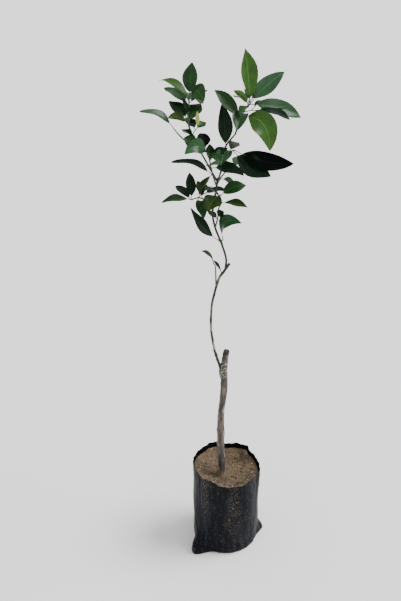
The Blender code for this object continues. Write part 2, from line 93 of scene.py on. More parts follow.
# Bearing and height of points on the film's cut edge
RIM = (
    (8.0, 0.209), (31.0, 0.216), (43.0, 0.217), (49.0, 0.2285), (67.0, 0.2245), (91.0, 0.220),
    (100.0, 0.2225), (108.0, 0.229), (122.0, 0.2297), (136.0, 0.227), (160.0, 0.228), (205.0, 0.231),
    (221.0, 0.225), (237.0, 0.229), (248.0, 0.226), (259.0, 0.220), (271.0, 0.2185), (283.0, 0.218),
    (298.0, 0.217), (313.0, 0.223), (335.0, 0.225),
)
# Start bearing and height, end bearing and height, depth and half width of each long crease,
# with a depth below zero for a ridge
CREASES = (
    (196.0, 0.074, 256.0, 0.022, -0.0026, 0.0026),
    (256.0, 0.022, 312.0, 0.016, -0.0016, 0.0028),
    (212.0, 0.026, 244.0, 0.008, -0.0022, 0.0024),
    (292.0, 0.180, 304.0, 0.150, 0.0010, 0.0040),
    (246.0, 0.205, 240.0, 0.150, 0.0009, 0.0040),
    (120.0, 0.060, 60.0, 0.020, 0.0018, 0.0035),
    (20.0, 0.190, 28.0, 0.120, 0.0010, 0.0040),
)
# Where a crease starts and ends on the half wave that shapes its depth
CREASE_START = 0.12
CREASE_END = 0.95
# How often the wrinkles change round the bag and up it
COARSE_WRINKLES = (7.0, 9.0)
FINE_WRINKLES = (17.0, 60.0)
FINE_WRINKLE_SHARE = 0.45
MIDDLE_WRINKLE_SHARE = 0.35

# Soil
SOIL_COLUMNS = 120
SOIL_ROWS = 60
SOIL_TOP_SHARE = 0.8
SOIL_SIDE_SHARE = 0.9
SOIL_PAD = 0.189
SOIL_PAD_RADIUS = 0.027
SOIL_DISH = 1.5
SOIL_EDGE_BELOW_RIM = 0.012
SOIL_CRUST = 0.009
SOIL_CRUST_BEARING = 235.0
SOIL_CRUST_SPREAD = 60.0
SOIL_WALL_GAP = 0.0020
SOIL_FLOOR = 0.0015
# How often each size of lump changes, and its height
LUMP_SCALES = ((45.0, 0.0020), (130.0, 0.0012), (380.0, 0.0006))
SOIL_LIFT = LUMP_SCALES[0][1] / 2
CRUMB_SEED = 12
CRUMB_MARGIN = 0.006
CRUMB_SPREAD = (0.02, 1.0)
CRUMB_SIZES = (0.25, 1.0)
CRUMB_ROUGHNESS = (0.7, 1.2)

# Wood
LIMB_STEPS = 12
TWIG_STEPS = 4
LIMB_ROUNDNESS = 6
TWIG_ROUNDNESS = 2
STEM_RADIUS = 0.0019
TWIG_RADIUS = 0.0012
TWIG_TAPER = 0.0006
# How often the bark's ridges change across the grain and along it
COARSE_GRAIN = (260.0, 45.0)
FINE_GRAIN = (700.0, 240.0)
FINE_GRAIN_SHARE = 0.5
KNOT_BEARING_SPREAD = 40.0
THORN_CHANCE = 0.4
THORN_SWING = 70.0
THORN_LIFT = 35.0
THORN_RADII = (0.0007, 0.0004, 0.0001)

# Leaves
LEAF_SEED = 7
LEAF_ROWS = 14
LEAF_COLUMNS = 6
LEAF_POINT = 0.0003
LEAF_FULLNESS = 0.85
LEAF_WAVES = 9.0
FOLD_SOFTNESS = 0.18
STALK_SHARE = 0.14
STALK_SINK = 0.06
STALK_RADIUS = 0.0010
STALK_TAPER = (1.0, 0.8, 0.7, 0.5)
VEIN_COUNT = 10.0
VEIN_SLANT = 5.0
# Width and strength of a leaf's midrib and of its side veins
MIDRIB = (0.035, 1.0)
SIDE_VEIN = (0.10, 0.30)
# Gain and lift that turn a tone into that of its dark patches, its veins and its underside
PATCH_TINT = (0.62, 0.0)
VEIN_TINT = (2.2, 0.004)
UNDERSIDE_TINT = (1.3, 0.002)
SPRIG_TURN = 68.75
SPRIG_ZONE = (0.45, 0.90)
SPRIG_LEAVES = ((0.55, 40.0), (0.8, -40.0), (1.0, 0.0))
SPRIG_BOW = 0.002
SPRIG_SWING = (-15.0, 15.0)
SPRIG_RISE = (-10.0, 15.0)
SPRIG_LENGTH = (0.022, 0.034)
SEEDED_SWING = (-12.0, 12.0)
SEEDED_DROOP = (-15.0, 10.0)
SEEDED_REACH = (0.055, 0.080)
SEEDED_WIDTH = (0.022, 0.030)
SEEDED_ROLL = (-15.0, 15.0)
SEEDED_ARCH = (0.05, 0.15)
SEEDED_FOLD = 15.0
SEEDED_TONES = ("mid", "dark", "blue")

# Base colour, roughness and gloss of each tone that leaves are dealt out in
TONES = {
    "bright": ((0.024, 0.080, 0.004), 0.34, 0.30),
    "blue": ((0.015, 0.062, 0.018), 0.34, 0.28),
    "mid": ((0.010, 0.046, 0.007), 0.36, 0.20),
    "dark": ((0.003, 0.014, 0.004), 0.40, 0.12),
    "olive": ((0.016, 0.038, 0.003), 0.40, 0.15),
    "lime": ((0.260, 0.340, 0.070), 0.45, 0.20),
    # Painted shade: near black, with little gloss, for leaves in deep shade
    "painted_shade": ((0.0006, 0.0022, 0.0012), 0.42, 0.04),
}

# Foot, top and fade of the lengths of trunk that have a look of their own; the first is painted shade
# round the graft
GRAFT_SHADE_BAND = (0.42, 0.56, 0.05)
TAPE_BAND = (0.488, 0.522, 0.010)
STUB_BAND = (0.5455, 0.60, 0.006)
SPLASH_BAND = (0.10, 0.196, 0.012)

# Noise patterns: scale, level where the mask starts, level where it is full, scale along Z, detail
Pattern = namedtuple("Pattern", "scale low high upright detail", defaults=(1.0, 4.0))
FILM_HAZE = Pattern(26.0, 0.50, 0.78, 0.4, 8.0)
FILM_SCRATCHES = Pattern(150.0, 0.56, 0.70, 0.22, 6.0)
FILM_STREAKS = Pattern(30.0, 0.53, 0.68, 0.18, 5.0)
FILM_SPECKS = Pattern(420.0, 0.52, 0.66, 0.5, 3.0)
FILM_DUST = Pattern(240.0, 0.62, 0.72)
FILM_PUCKERS = Pattern(38.0, 0.30, 0.70, 0.45, 6.0)
DAMP_SOIL = Pattern(34.0, 0.46, 0.66, detail=8.0)
DARK_SPECKS = Pattern(300.0, 0.55, 0.62)
PALE_SPECKS = Pattern(360.0, 0.62, 0.70)
SOIL_GRAIN = Pattern(260.0, 0.30, 0.70, detail=8.0)
FINE_BUMPS = Pattern(500.0, 0.3, 0.7)
DARK_BARK = Pattern(110.0, 0.42, 0.60, 0.22, 7.0)
PALE_BARK = Pattern(150.0, 0.56, 0.66, 0.20, 6.0)
TAPE_PATCHES = Pattern(260.0, 0.52, 0.58)
BARK_GRAIN = Pattern(240.0, 0.30, 0.70, 0.18, 8.0)
DARK_STEM = Pattern(120.0, 0.45, 0.62, 0.25)
SCION_PATCHES = Pattern(75.0, 0.55, 0.62, 0.35)
LEADER_PATCHES = Pattern(75.0, 0.68, 0.75, 0.35)
STEM_GRAIN = Pattern(400.0, 0.30, 0.70, 0.2, 6.0)
DARK_TWIG = Pattern(110.0, 0.45, 0.60)
LEAF_PATCHES = Pattern(55.0, 0.42, 0.66)

# Places of a Mix node's factor and colour sockets, whose names repeat
MIX_FACTOR = 0
MIX_BELOW = 6
MIX_ABOVE = 7
MIX_RESULT = 2

Limb = namedtuple("Limb", "node piece points radii relief bark")
Leaf = namedtuple("Leaf", "at bearing rise reach width roll arch fold tone")
Sprig = namedtuple("Sprig", "at bearing rise length leaves")
Mass = namedtuple("Mass", "node points leaves sprigs rule", defaults=((), None))
Rule = namedtuple("Rule", "count bearing seed")

LIMBS = (
    Limb(
        "rootstock_trunk",
        "rootstock_wood",
        (
            (-0.0130, 0.000, 0.188), (-0.0130, 0.000, 0.225), (-0.0155, 0.001, 0.275),
            (-0.0155, 0.000, 0.315), (-0.0165, -0.001, 0.356), (-0.0150, 0.000, 0.386),
            (-0.0115, 0.000, 0.423), (-0.0095, 0.000, 0.470), (-0.0125, 0.000, 0.498),
            (-0.0085, 0.001, 0.524), (-0.0055, 0.001, 0.552),
        ),
        (0.0102, 0.0094, 0.0090, 0.0090, 0.0084, 0.0072, 0.0082, 0.0080, 0.0102, 0.0074, 0.0066),
        0.0008,
        "rootstock",
    ),
    Limb(
        "scion_stem",
        "scion_wood",
        (
            (-0.0150, -0.001, 0.494), (-0.0245, -0.004, 0.527), (-0.0330, -0.008, 0.559),
            (-0.0405, -0.013, 0.610), (-0.0415, -0.012, 0.658), (-0.0370, -0.008, 0.693),
            (-0.0255, -0.002, 0.735), (-0.0150, 0.001, 0.752), (-0.0020, 0.004, 0.771),
        ),
        (0.0040, 0.0032, 0.0029, 0.0027, 0.0027, 0.0027, 0.0029, 0.0031, 0.0029),
        0.0002,
        "scion",
    ),
    Limb(
        "leader",
        "leader_wood",
        (
            (-0.0110, 0.002, 0.756), (-0.0100, 0.004, 0.783), (-0.0205, 0.008, 0.818),
            (-0.0330, 0.006, 0.851), (-0.0395, 0.004, 0.885), (-0.0350, 0.005, 0.925),
            (-0.0290, 0.010, 0.963),
        ),
        (0.0026, 0.0024, 0.0024, 0.0023, 0.0022, 0.0022, 0.0023),
        0.0002,
        "green",
    ),
    Limb(
        "left_bough",
        "left_bough_wood",
        ((-0.030, 0.009, 0.955), (-0.043, 0.012, 0.977), (-0.054, 0.010, 0.998), (-0.079, 0.000, 1.047)),
        (0.0020, 0.0020, 0.0019, 0.0016),
        0.00015,
        "green",
    ),
    Limb(
        "right_bough",
        "right_bough_wood",
        ((-0.029, 0.010, 0.957), (-0.0205, 0.015, 0.985), (-0.015, 0.018, 1.024), (0.005, 0.018, 1.052)),
        (0.0020, 0.0020, 0.0019, 0.0016),
        0.00015,
        "green",
    ),
)
# Height, bearing, size and spread of the buds, healed knots and graft swellings on the wood
KNOTS = (
    (0.329, 180.0, 0.0016, 0.004), (0.316, 330.0, 0.0010, 0.003), (0.386, 175.0, 0.0014, 0.004),
    (0.378, 320.0, 0.0014, 0.004), (0.462, 190.0, 0.0014, 0.004), (0.486, 186.0, 0.0014, 0.004),
    (0.505, 300.0, 0.0014, 0.007), (0.440, 350.0, 0.0008, 0.003), (0.247, 200.0, 0.0008, 0.004),
    (0.590, 20.0, 0.0010, 0.003), (0.640, 200.0, 0.0010, 0.003), (0.700, 10.0, 0.0010, 0.003),
    (0.818, 10.0, 0.0010, 0.003), (0.885, 190.0, 0.0008, 0.003), (0.925, 10.0, 0.0008, 0.003),
    (0.546, 20.0, 0.0014, 0.004), (0.543, 160.0, 0.0010, 0.004), (0.612, 190.0, 0.0010, 0.003),
    (0.548, 270.0, 0.0010, 0.004), (0.531, 200.0, 0.0010, 0.004), (0.560, 190.0, 0.0009, 0.003),
)

# Each leaf: place up the stem, bearing, rise, reach with its stalk, width, roll, arch, fold, tone
MASSES = (
    Mass(
        "upper_right_foliage",
        ((0.0050, 0.018, 1.052), (0.014, 0.016, 1.083), (0.023, 0.018, 1.101), (0.033, 0.020, 1.112)),
        (
            Leaf(1.00, 110, 73, 0.107, 0.042, 8, 0.03, 25, "bright"),
            Leaf(1.00, 33, 32, 0.098, 0.036, 38, 0.05, 12, "blue"),
            Leaf(0.97, 5, -15, 0.109, 0.038, 48, 0.07, 10, "blue"),
            Leaf(0.93, 212, 42, 0.051, 0.018, 50, 0.05, 35, "bright"),
            Leaf(0.90, 247, -6, 0.049, 0.020, 0, 0.08, 20, "mid"),
            Leaf(0.30, 154, 44, 0.079, 0.030, -42, 0.06, 25, "mid"),
            Leaf(0.57, 256, -19, 0.066, 0.038, -8, 0.12, 35, "mid"),
            Leaf(0.43, 318, -37, 0.093, 0.050, 38, 0.30, 12, "bright"),
        ),
        (),
        Rule(2, 20, 3),
    ),
    Mass(
        "upper_left_foliage",
        ((-0.079, 0.000, 1.047), (-0.089, 0.000, 1.078), (-0.089, 0.005, 1.104), (-0.086, 0.010, 1.132)),
        (
            Leaf(0.96, 71, 76, 0.066, 0.033, 2, 0.03, 20, "mid"),
            Leaf(1.00, 303, -2, 0.050, 0.036, 45, 0.28, 12, "mid"),
            Leaf(0.94, 56, -24, 0.053, 0.028, 50, 0.10, 15, "olive"),
            Leaf(0.84, 157, 30, 0.075, 0.024, -16, 0.18, 20, "bright"),
            Leaf(0.42, 131, 24, 0.065, 0.028, -18, 0.06, 15, "dark"),
            Leaf(0.36, 226, 20, 0.059, 0.022, -50, 0.10, 20, "olive"),
            Leaf(0.52, 238, 59, 0.050, 0.016, -8, 0.05, 30, "dark"),
            Leaf(0.36, 68, 21, 0.066, 0.032, 14, 0.06, 15, "mid"),
            Leaf(0.25, 79, -6, 0.061, 0.024, 12, 0.10, 12, "dark"),
            Leaf(0.04, 238, 31, 0.048, 0.017, 28, 0.06, 25, "dark"),
            Leaf(0.12, 262, -28, 0.040, 0.024, 0, 0.10, 15, "mid"),
        ),
        (
            Sprig(
                0.08, 318, 50, 0.023,
                (
                    Leaf(1.00, 260, 82, 0.035, 0.009, 0, 0.02, 25, "lime"),
                    Leaf(0.80, 51, 14, 0.030, 0.018, 28, 0.08, 15, "mid"),
                    Leaf(0.60, 120, 20, 0.044, 0.024, 0, 0.08, 15, "dark"),
                ),
            ),
        ),
        Rule(1, 85, 5),
    ),
    Mass(
        "left_tip_leaf",
        (
            (-0.0755, 0.001, 1.040), (-0.087, -0.010, 1.040), (-0.106, -0.020, 1.060),
            (-0.117, -0.025, 1.075),
        ),
        (Leaf(1.00, 189, 29, 0.075, 0.025, -22, 0.14, 20, "blue"),),
    ),
    Mass(
        "centre_foliage",
        (
            (-0.033, 0.006, 0.949), (-0.042, -0.012, 0.983), (-0.047, -0.022, 1.011),
            (-0.053, -0.028, 1.035),
        ),
        (
            Leaf(0.77, 217, 15, 0.061, 0.032, -60, 0.30, 10, "blue"),
            # Painted shade: this leaf is near black to stand for the deep shade on it
            Leaf(1.00, 103, 19, 0.054, 0.028, 0, 0.06, 12, "painted_shade"),
            Leaf(0.57, 268, 62, 0.053, 0.019, 0, 0.05, 25, "dark"),
            Leaf(0.23, 173, 16, 0.089, 0.029, -8, 0.13, 20, "dark"),
            Leaf(0.43, 325, 0, 0.078, 0.028, 34, 0.10, 20, "dark"),
            Leaf(0.27, 238, -29, 0.061, 0.020, 14, 0.10, 25, "olive"),
            Leaf(0.70, 15, 25, 0.044, 0.022, 20, 0.08, 15, "dark"),
            Leaf(0.88, 310, -15, 0.044, 0.022, 10, 0.10, 15, "mid"),
        ),
    ),
    Mass(
        "right_foliage",
        ((-0.015, 0.018, 1.021), (-0.008, 0.000, 1.022), (0.003, -0.012, 1.028)),
        (
            Leaf(0.35, 255, -14, 0.057, 0.036, -10, 0.14, 30, "blue"),
            Leaf(0.60, 70, 3, 0.053, 0.023, 18, 0.08, 15, "olive"),
            # Painted shade: this leaf is near black to stand for the deep shade on it
            Leaf(1.00, 350, -10, 0.120, 0.042, 50, -0.08, 10, "painted_shade"),
            Leaf(0.85, 335, -27, 0.093, 0.044, 45, -0.06, 8, "dark"),
            Leaf(0.10, 119, 79, 0.092, 0.034, -14, 0.03, 25, "dark"),
        ),
    ),
    Mass(
        "left_foliage",
        (
            (-0.039, 0.004, 0.901), (-0.056, -0.004, 0.920), (-0.070, -0.008, 0.926),
            (-0.084, -0.010, 0.922),
        ),
        (
            Leaf(0.97, 99, 53, 0.058, 0.023, 0, 0.05, 20, "dark"),
            Leaf(1.00, 130, 16, 0.055, 0.021, -16, 0.08, 15, "dark"),
            Leaf(0.98, 202, 3, 0.066, 0.023, -20, 0.08, 20, "mid"),
            Leaf(0.70, 286, -32, 0.055, 0.026, 0, 0.10, 25, "mid"),
            Leaf(0.45, 110, 45, 0.042, 0.020, 10, 0.08, 15, "dark"),
        ),
        (),
        Rule(1, 60, 9),
    ),
    Mass(
        "shoot_foliage",
        (
            (-0.034, 0.006, 0.853), (-0.029, -0.006, 0.881), (-0.028, -0.014, 0.904),
            (-0.022, -0.020, 0.921), (-0.026, -0.024, 0.938),
        ),
        (
            Leaf(1.00, 240, -18, 0.055, 0.038, -20, 0.10, 8, "olive"),
            Leaf(0.97, 20, 15, 0.060, 0.028, 44, 0.10, 15, "mid"),
            Leaf(0.72, 330, 1, 0.061, 0.023, 18, 0.08, 20, "olive"),
            Leaf(0.50, 281, -17, 0.034, 0.016, 0, 0.08, 20, "dark"),
            Leaf(0.20, 223, 43, 0.040, 0.015, 45, 0.05, 25, "dark"),
            Leaf(0.86, 165, 35, 0.042, 0.021, 15, 0.08, 15, "dark"),
            Leaf(0.62, 195, 15, 0.042, 0.020, -20, 0.10, 15, "mid"),
        ),
    ),
    Mass(
        "low_left_leaf",
        ((-0.022, 0.008, 0.820), (-0.027, 0.009, 0.824)),
        (Leaf(1.00, 171, 50, 0.091, 0.031, -28, -0.10, 20, "dark"),),
    ),
    Mass(
        "low_right_leaf",
        ((-0.022, 0.008, 0.822), (-0.017, 0.006, 0.826)),
        (Leaf(1.00, 334, 46, 0.062, 0.031, 60, 0.42, 15, "blue"),),
    ),
    Mass(
        "side_shoot",
        (
            (-0.031, -0.004, 0.716), (-0.032, -0.010, 0.750), (-0.033, -0.012, 0.770),
            (-0.038, -0.014, 0.782),
        ),
        (Leaf(1.00, 201, 48, 0.042, 0.015, -32, 0.12, 30, "mid"),),
    ),
    Mass(
        "stem_leaf",
        ((-0.017, 0.000, 0.748), (-0.020, -0.003, 0.753)),
        (Leaf(1.00, 150, 48, 0.033, 0.012, 0, 0.05, 30, "dark"),),
    ),
    Mass(
        "back_foliage",
        ((-0.030, 0.008, 0.952), (-0.020, 0.030, 0.960), (-0.008, 0.052, 0.966), (0.004, 0.070, 0.972)),
        (Leaf(0.20, 30, -38, 0.055, 0.022, 40, 0.10, 20, "mid"),),
        (),
        Rule(2, 35, 21),
    ),
)


def deselect():
    """Leaves nothing selected, so that the next operator acts on the new piece alone."""
    bpy.ops.object.select_all(action="DESELECT")


def pick(thing):
    """Makes a thing the active one and the only one selected."""
    deselect()
    thing.select_set(True)
    bpy.context.view_layer.objects.active = thing


def direction(bearing, rise):
    """The unit vector at a bearing and a rise, both in degrees."""
    level = math.cos(math.radians(rise))
    angle = math.radians(bearing)
    return Vector((level * math.cos(angle), level * math.sin(angle), math.sin(math.radians(rise))))


def turn(start, bearing):
    """Degrees from one bearing to another, the short way round, below zero where clockwise."""
    return (bearing - start + 180.0) % 360.0 - 180.0


def apart(bearing, other):
    """Degrees between two bearings, the short way round."""
    return abs(turn(other, bearing))


def bell(miss, spread):
    """A smooth peak: 1 where the miss is 0, and near 0 at twice the spread."""
    return math.exp(-((miss / spread) ** 2))


def smooth_line(points, steps):
    """Places on a smooth curve through the points, with so many steps from each to the next."""
    points = [Vector(point) for point in points]
    padded = [2 * points[0] - points[1], *points, 2 * points[-1] - points[-2]]
    line = []
    for before, start, end, after in zip(padded, padded[1:], padded[2:], padded[3:]):
        for step in range(steps):
            t = step / steps
            place = 2 * start + (end - before) * t
            place += (2 * before - 5 * start + 4 * end - after) * t**2
            place += (3 * start - before - 3 * end + after) * t**3
            line.append(place / 2)
    line.append(points[-1])
    return line


def spread_values(values, steps):
    """A value for each place of smooth_line, from one for each of its points."""
    spread = []
    for start, end in zip(values, values[1:]):
        spread += [start + (end - start) * step / steps for step in range(steps)]
    return [*spread, values[-1]]


def place_on(line, share):
    """The place at a share of the way along a line."""
    where = share * (len(line) - 1)
    index = min(int(where), len(line) - 2)
    return line[index].lerp(line[index + 1], where - index)


def close_up(thing):
    """Merges doubled corners and turns all faces outwards."""
    pick(thing)
    bpy.ops.object.mode_set(mode="EDIT")
    bpy.ops.mesh.select_all(action="SELECT")
    bpy.ops.mesh.remove_doubles(threshold=WELD)
    bpy.ops.mesh.normals_make_consistent(inside=False)
    bpy.ops.object.mode_set(mode="OBJECT")


def wrapped_grid(name, columns, rows, place):
    """A grid whose corners go to place(u, v), closed where its edges meet."""
    deselect()
    bpy.ops.mesh.primitive_grid_add(x_subdivisions=columns, y_subdivisions=rows, size=2.0)
    sheet = bpy.context.active_object
    sheet.name = name
    for vert in sheet.data.vertices:
        vert.co = place((vert.co.x + 1) / 2, (vert.co.y + 1) / 2)
    close_up(sheet)
    return sheet


def tubes(name, strands, roundness):
    """One mesh of tapering round tubes: each strand is a line of places and its radii."""
    curve = bpy.data.curves.new(name, "CURVE")
    curve.dimensions = "3D"
    curve.bevel_depth = 1.0
    curve.bevel_resolution = roundness
    curve.use_fill_caps = True
    for line, radii in strands:
        spline = curve.splines.new("POLY")
        spline.points.add(len(line) - 1)
        for point, place, radius in zip(spline.points, line, radii):
            point.co = (*place, 1.0)
            point.radius = radius
    thing = bpy.data.objects.new(name, curve)
    bpy.context.scene.collection.objects.link(thing)
    pick(thing)
    bpy.ops.object.convert(target="MESH")
    close_up(thing)
    return thing


def join(name, things):
    deselect()
    for thing in things:
        thing.select_set(True)
    bpy.context.view_layer.objects.active = things[0]
    bpy.ops.object.join()
    piece = bpy.context.active_object
    piece.name = name
    return piece


def smooth(thing, degrees):
    pick(thing)
    bpy.ops.object.shade_smooth_by_angle(angle=math.radians(degrees))


def wear(piece, material, slot, *nodes):
    """Dresses a finished piece, hides the solids that it stands for and keeps it with the tree."""
    piece.data.materials.clear()
    piece.data.materials.append(material)
    if nodes:
        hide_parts(*nodes)
    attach(piece, "root")


def mask_group(name, vector, *numbers):
    """A new node group that makes a mask of a vector and numbers, and its input and output nodes."""
    group = bpy.data.node_groups.new(name, "ShaderNodeTree")
    sockets = group.interface
    sockets.new_socket(vector, in_out="INPUT", socket_type="NodeSocketVector")
    for number in numbers:
        sockets.new_socket(number, in_out="INPUT", socket_type="NodeSocketFloat")
    sockets.new_socket("Mask", in_out="OUTPUT", socket_type="NodeSocketFloat")
    return group, group.nodes.new("NodeGroupInput"), group.nodes.new("NodeGroupOutput")


def mottle_group():
    """Noise between a low and a high level, as a mask."""
    group = bpy.data.node_groups.get("mottle")
    if group:
        return group
    group, given, result = mask_group("mottle", "Vector", "Scale", "Detail", "Low", "High")
    cloud = group.nodes.new("ShaderNodeTexNoise")
    levels = group.nodes.new("ShaderNodeMapRange")
    for name in ("Vector", "Scale", "Detail"):
        group.links.new(given.outputs[name], cloud.inputs[name])
    group.links.new(cloud.outputs["Fac"], levels.inputs["Value"])
    group.links.new(given.outputs["Low"], levels.inputs["From Min"])
    group.links.new(given.outputs["High"], levels.inputs["From Max"])
    group.links.new(levels.outputs["Result"], result.inputs["Mask"])
    return group


def vein_group():
    """A leaf's midrib and side veins, from its UV map, as a mask."""
    group = bpy.data.node_groups.get("leaf_veins")
    if group:
        return group
    group, given, result = mask_group("leaf_veins", "UV")
    split = group.nodes.new("ShaderNodeSeparateXYZ")
    group.links.new(given.outputs["UV"], split.inputs[0])

    def math_node(operation, first, second=0.0):
        node = group.nodes.new("ShaderNodeMath")
        node.operation = operation
        for socket, value in zip(node.inputs, (first, second)):
            if isinstance(value, float):
                socket.default_value = value
            else:
                group.links.new(value, socket)
        return node.outputs[0]

    def ridge(value, width, strength):
        levels = group.nodes.new("ShaderNodeMapRange")
        levels.inputs["From Max"].default_value = width
        levels.inputs["To Min"].default_value = strength
        levels.inputs["To Max"].default_value = 0.0
        group.links.new(value, levels.inputs["Value"])
        return levels.outputs["Result"]

    across = math_node("ABSOLUTE", math_node("SUBTRACT", split.outputs["Y"], 0.5))
    along = math_node("MULTIPLY", split.outputs["X"], VEIN_COUNT)
    slant = math_node("MULTIPLY", across, VEIN_SLANT)
    repeat = math_node("FRACT", math_node("SUBTRACT", along, slant))
    side_vein = ridge(math_node("ABSOLUTE", math_node("SUBTRACT", repeat, 0.5)), *SIDE_VEIN)
    mask = math_node("MAXIMUM", ridge(across, *MIDRIB), side_vein)
    group.links.new(mask, result.inputs["Mask"])
    return group


def tint(colour, gain, lift):
    return tuple(min(gain * part + lift, 1.0) for part in colour)


class Finish:
    """A Principled material that is built up in layers of colour and one bump."""

    def __init__(self, name, colour, roughness, gloss=0.5):
        self.material = bpy.data.materials.new(name)
        self.material.use_nodes = True
        tree = self.material.node_tree
        self.add = tree.nodes.new
        self.link = tree.links.new
        self.shader = tree.nodes["Principled BSDF"]
        self.shader.inputs["Roughness"].default_value = roughness
        self.shader.inputs["Specular IOR Level"].default_value = gloss
        base = self.add("ShaderNodeRGB")
        base.outputs[0].default_value = (*colour, 1.0)
        self.colour = base.outputs[0]
        self.show()

    def show(self):
        self.link(self.colour, self.shader.inputs["Base Color"])

    def mottle(self, pattern):
        """A noise mask on Object coordinates."""
        where = self.add("ShaderNodeTexCoord")
        mapping = self.add("ShaderNodeMapping")
        mapping.inputs["Scale"].default_value = (1.0, 1.0, pattern.upright)
        self.link(where.outputs["Object"], mapping.inputs["Vector"])
        cloud = self.add("ShaderNodeGroup")
        cloud.node_tree = mottle_group()
        self.link(mapping.outputs["Vector"], cloud.inputs["Vector"])
        for name in ("Scale", "Detail", "Low", "High"):
            cloud.inputs[name].default_value = getattr(pattern, name.lower())
        return cloud.outputs["Mask"]

    def band(self, foot, top, fade):
        """A mask that is 1 between two heights and fades out past them."""
        where = self.add("ShaderNodeTexCoord")
        split = self.add("ShaderNodeSeparateXYZ")
        self.link(where.outputs["Object"], split.inputs[0])
        masks = []
        for start, end in ((foot - fade, foot), (top + fade, top)):
            levels = self.add("ShaderNodeMapRange")
            levels.inputs["From Min"].default_value = start
            levels.inputs["From Max"].default_value = end
            self.link(split.outputs["Z"], levels.inputs["Value"])
            masks.append(levels.outputs["Result"])
        return self.times(*masks)

    def times(self, first, second):
        """A mask times another, or times a number."""
        node = self.add("ShaderNodeMath")
        node.operation = "MULTIPLY"
        self.link(first, node.inputs[0])
        if isinstance(second, float):
            node.inputs[1].default_value = second
        else:
            self.link(second, node.inputs[1])
        return node.outputs[0]

    def layer(self, colour, mask, share=1.0):
        """Paints a colour, or a share of it, over what is there where the mask is 1."""
        if share < 1.0:
            mask = self.times(mask, share)
        mix = self.add("ShaderNodeMix")
        mix.data_type = "RGBA"
        self.link(mask, mix.inputs[MIX_FACTOR])
        self.link(self.colour, mix.inputs[MIX_BELOW])
        mix.inputs[MIX_ABOVE].default_value = (*colour, 1.0)
        self.colour = mix.outputs[MIX_RESULT]
        self.show()

    def bump(self, mask, distance, strength=0.6):
        node = self.add("ShaderNodeBump")
        node.inputs["Strength"].default_value = strength
        node.inputs["Distance"].default_value = distance
        self.link(mask, node.inputs["Height"])
        self.link(node.outputs["Normal"], self.shader.inputs["Normal"])


def rim_height(bearing):
    """Height of the film's cut edge, eased between the points of the rim."""
    points = [*RIM, (RIM[0][0] + 360.0, RIM[0][1])]
    bearing = bearing % 360.0
    bearing = bearing if bearing >= RIM[0][0] else bearing + 360.0
    for (start, low), (end, high) in zip(points, points[1:]):
        if start <= bearing <= end:
            ease = (1 - math.cos(math.pi * (bearing - start) / (end - start))) / 2
            return low + (high - low) * ease
    raise ValueError(bearing)


def crease_depth(bearing, height):
    """How far the long creases press the film in at a place on it."""
    depth = 0.0
    around = math.radians(1.0) * BAG_RADIUS
    for start, low, end, high, deep, spread in CREASES:
        run = Vector(((end - start) * around, high - low))
        here = Vector((turn(start, bearing) * around, height - low))
        share = min(max(here.dot(run) / run.length_squared, 0.0), 1.0)
        miss = (here - share * run).length
        depth += deep * math.sin(math.pi * min(share + CREASE_START, CREASE_END)) * bell(miss, spread)
    return depth


def wrinkles(bearing, height, amount):
    """Small folds of slack film, deeper near the mouth and near the base."""
    around = direction(bearing, 0.0)
    coarse, fine = (
        noise.noise(around * round_bag + UP * height * up_bag)
        for round_bag, up_bag in (COARSE_WRINKLES, FINE_WRINKLES)
    )
    ends = MIDDLE_WRINKLE_SHARE + (1 - MIDDLE_WRINKLE_SHARE) * abs(2 * height / BAG_HEIGHT - 1) ** 2
    return amount * (coarse + FINE_WRINKLE_SHARE * fine) * ends


def bag_radius(bearing, height):
    """Radius of the film's outside: a slack round body with the base's two folded corners."""
    share = max(height / BAG_HEIGHT, 0.0)
    waves = math.sin(SLACK_FOLDS * math.radians(bearing) + SLACK_TWIST * height)
    slack = BAG_SLACK * waves * math.sin(math.pi * min(share, 1.0))
    radius = BAG_RADIUS + slack + MOUTH_FLARE * share**4
    for at, reach, spread, tall in EARS:
        radius += reach * bell(apart(bearing, at), spread) * bell(height, tall)
    return radius


def film_place(u, v, amount):
    """Where a corner of the film's grid goes: v runs from the middle of the base to the rim."""
    bearing = 360.0 * (u % 1.0)
    if v <= BASE_SHARE:
        radius = (bag_radius(bearing, 0.0) - BASE_TUCK) * v / BASE_SHARE
        return radius * direction(bearing, 0.0)
    height = rim_height(bearing) * (v - BASE_SHARE) / (1 - BASE_SHARE)
    radius = bag_radius(bearing, height) - crease_depth(bearing, height)
    radius += wrinkles(bearing, height, amount)
    radius -= BASE_TUCK * max(1 - height / BASE_ROUND, 0.0) ** 2
    return radius * direction(bearing, 0.0) + height * UP


def soil_height(bearing, share):
    """Height of the soil: a level pad round the trunk, rising to a crust by the film."""
    edge = rim_height(bearing) - SOIL_EDGE_BELOW_RIM
    edge += SOIL_CRUST * bell(apart(bearing, SOIL_CRUST_BEARING), SOIL_CRUST_SPREAD)
    return SOIL_PAD + (edge - SOIL_PAD) * share**SOIL_DISH


def soil_surface(bearing, radius):
    """A place on top of the soil, with its lumps."""
    past_pad = max((radius - SOIL_PAD_RADIUS) / (BAG_RADIUS - SOIL_PAD_RADIUS), 0.0)
    place = radius * direction(bearing, 0.0) + soil_height(bearing, past_pad) * UP
    lumps = sum(size * noise.noise(place * scale) for scale, size in LUMP_SCALES)
    return place + (lumps + SOIL_LIFT) * UP


def soil_reach(bearing):
    """How far out the soil goes at a bearing, clear of the film's folds."""
    folds = SOIL_WALL_GAP / 2 * (1 + math.cos(SLACK_FOLDS * math.radians(bearing))) / 2
    return BAG_RADIUS - SOIL_WALL_GAP - folds


